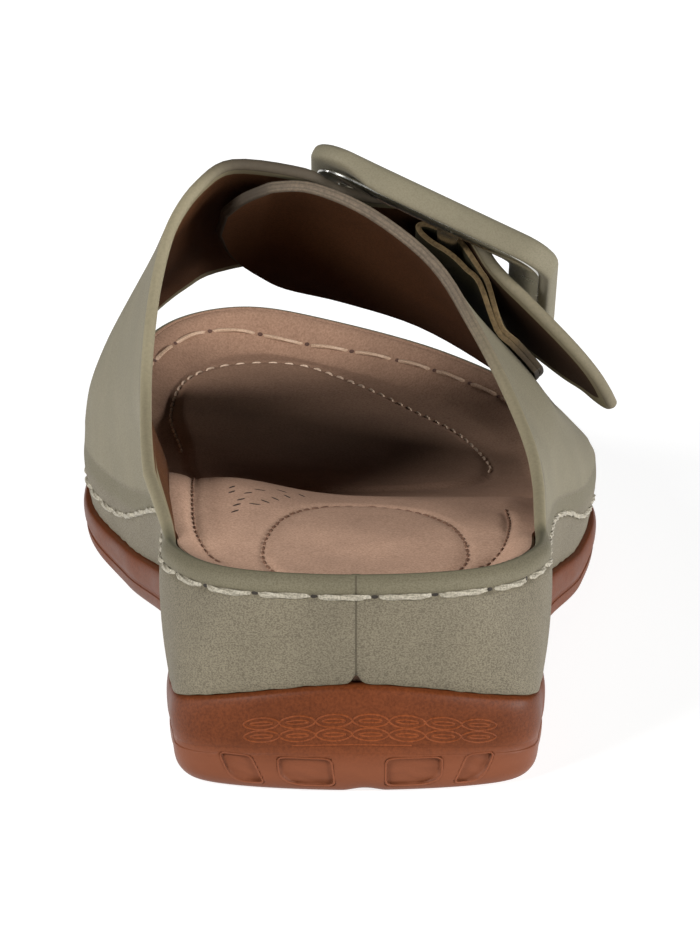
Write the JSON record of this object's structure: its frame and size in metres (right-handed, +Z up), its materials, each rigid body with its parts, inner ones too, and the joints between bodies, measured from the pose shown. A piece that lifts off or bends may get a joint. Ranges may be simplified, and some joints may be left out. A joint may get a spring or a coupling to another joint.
{
  "type": "slide sandal",
  "caption": "Backless slide sandal on a low wedge: wrapped leather upper with crossed straps, an oversized covered buckle, a shaped footbed and a moulded rubber outsole.",
  "frame": {"origin": "floor level, at the middle of the shoe's length and width", "axes": "+Z up, +Y from the heel towards the toe, +X towards the outer side of the foot"},
  "size_m": [0.1022, 0.2496, 0.0889],
  "materials": {
    "outsole_rubber": "semi-gloss moulded brown rubber",
    "footbed_suede": "matt brown napped leather over padding",
    "upper_leather": "matt sage-grey nubuck with a fine grain",
    "buckle_metal": "bright nickel-plated metal",
    "tab_leather": "matt olive leather with a raw brown edge",
    "stitch_thread": "thick waxed cream thread"
  },
  "bodies": {
    "root": {"outsole": "outsole_rubber", "footbed": "footbed_suede", "upper": "upper_leather", "buckle_cover": "upper_leather", "buckle_frame": "buckle_metal", "buckle_tab": "tab_leather"}
  },
  "joints": []
}
